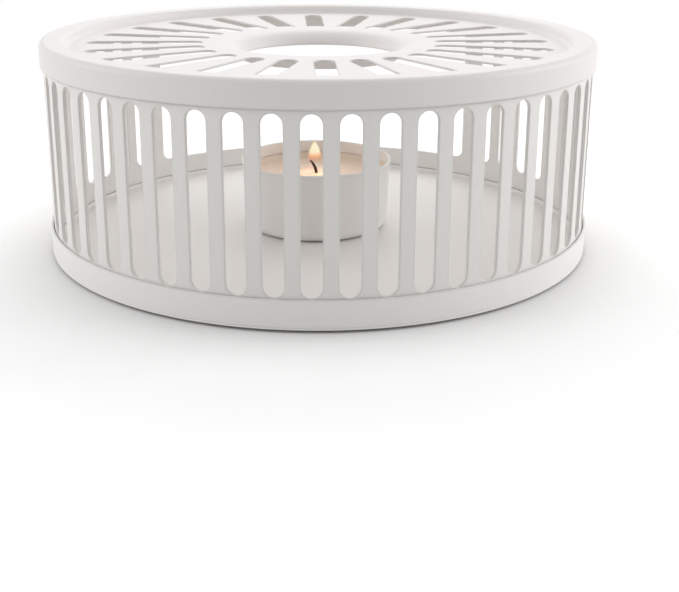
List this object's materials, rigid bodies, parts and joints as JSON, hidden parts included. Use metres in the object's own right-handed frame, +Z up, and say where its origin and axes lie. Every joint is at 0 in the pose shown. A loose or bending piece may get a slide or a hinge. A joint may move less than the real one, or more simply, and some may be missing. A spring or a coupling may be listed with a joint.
{
  "type": "teapot warmer",
  "caption": "Round teapot warmer: a white sheet-metal drum with upright wall slots, a slotted top plate with a flared centre hole, a window at the back and a loose tealight.",
  "frame": {"origin": "middle of the drum, on the surface that its feet stand on", "axes": "+Z up, +Y to the back, where the window is, +X to the right seen from the front"},
  "size_m": [0.135, 0.135, 0.0525],
  "materials": {
    "white_coating_lid": "satin powder coat",
    "white_coating_wall": "satin powder coat",
    "white_coating_tray": "satin powder coat",
    "clear_silicone": "matte",
    "white_cup": "white lacquer, satin",
    "ivory_wax": "wax, partly melted",
    "burnt_wick": "charred cotton",
    "tin_plate": "plain"
  },
  "bodies": {
    "drum": {"lid": "white_coating_lid", "slotted_wall": "white_coating_wall", "base_tray": "white_coating_tray", "foot_1": "clear_silicone", "foot_2": "clear_silicone", "foot_3": "clear_silicone", "foot_4": "clear_silicone"},
    "tealight": {"tealight_cup": "white_cup", "tealight_wax": "ivory_wax", "tealight_wick": "burnt_wick", "wick_holder": "tin_plate"}
  },
  "joints": [
    {"name": "tealight_slide", "type": "slide", "parent": "drum", "child": "tealight", "axis": [0, 0.9848, 0.1736], "range_m": [0, 0.12]}
  ]
}
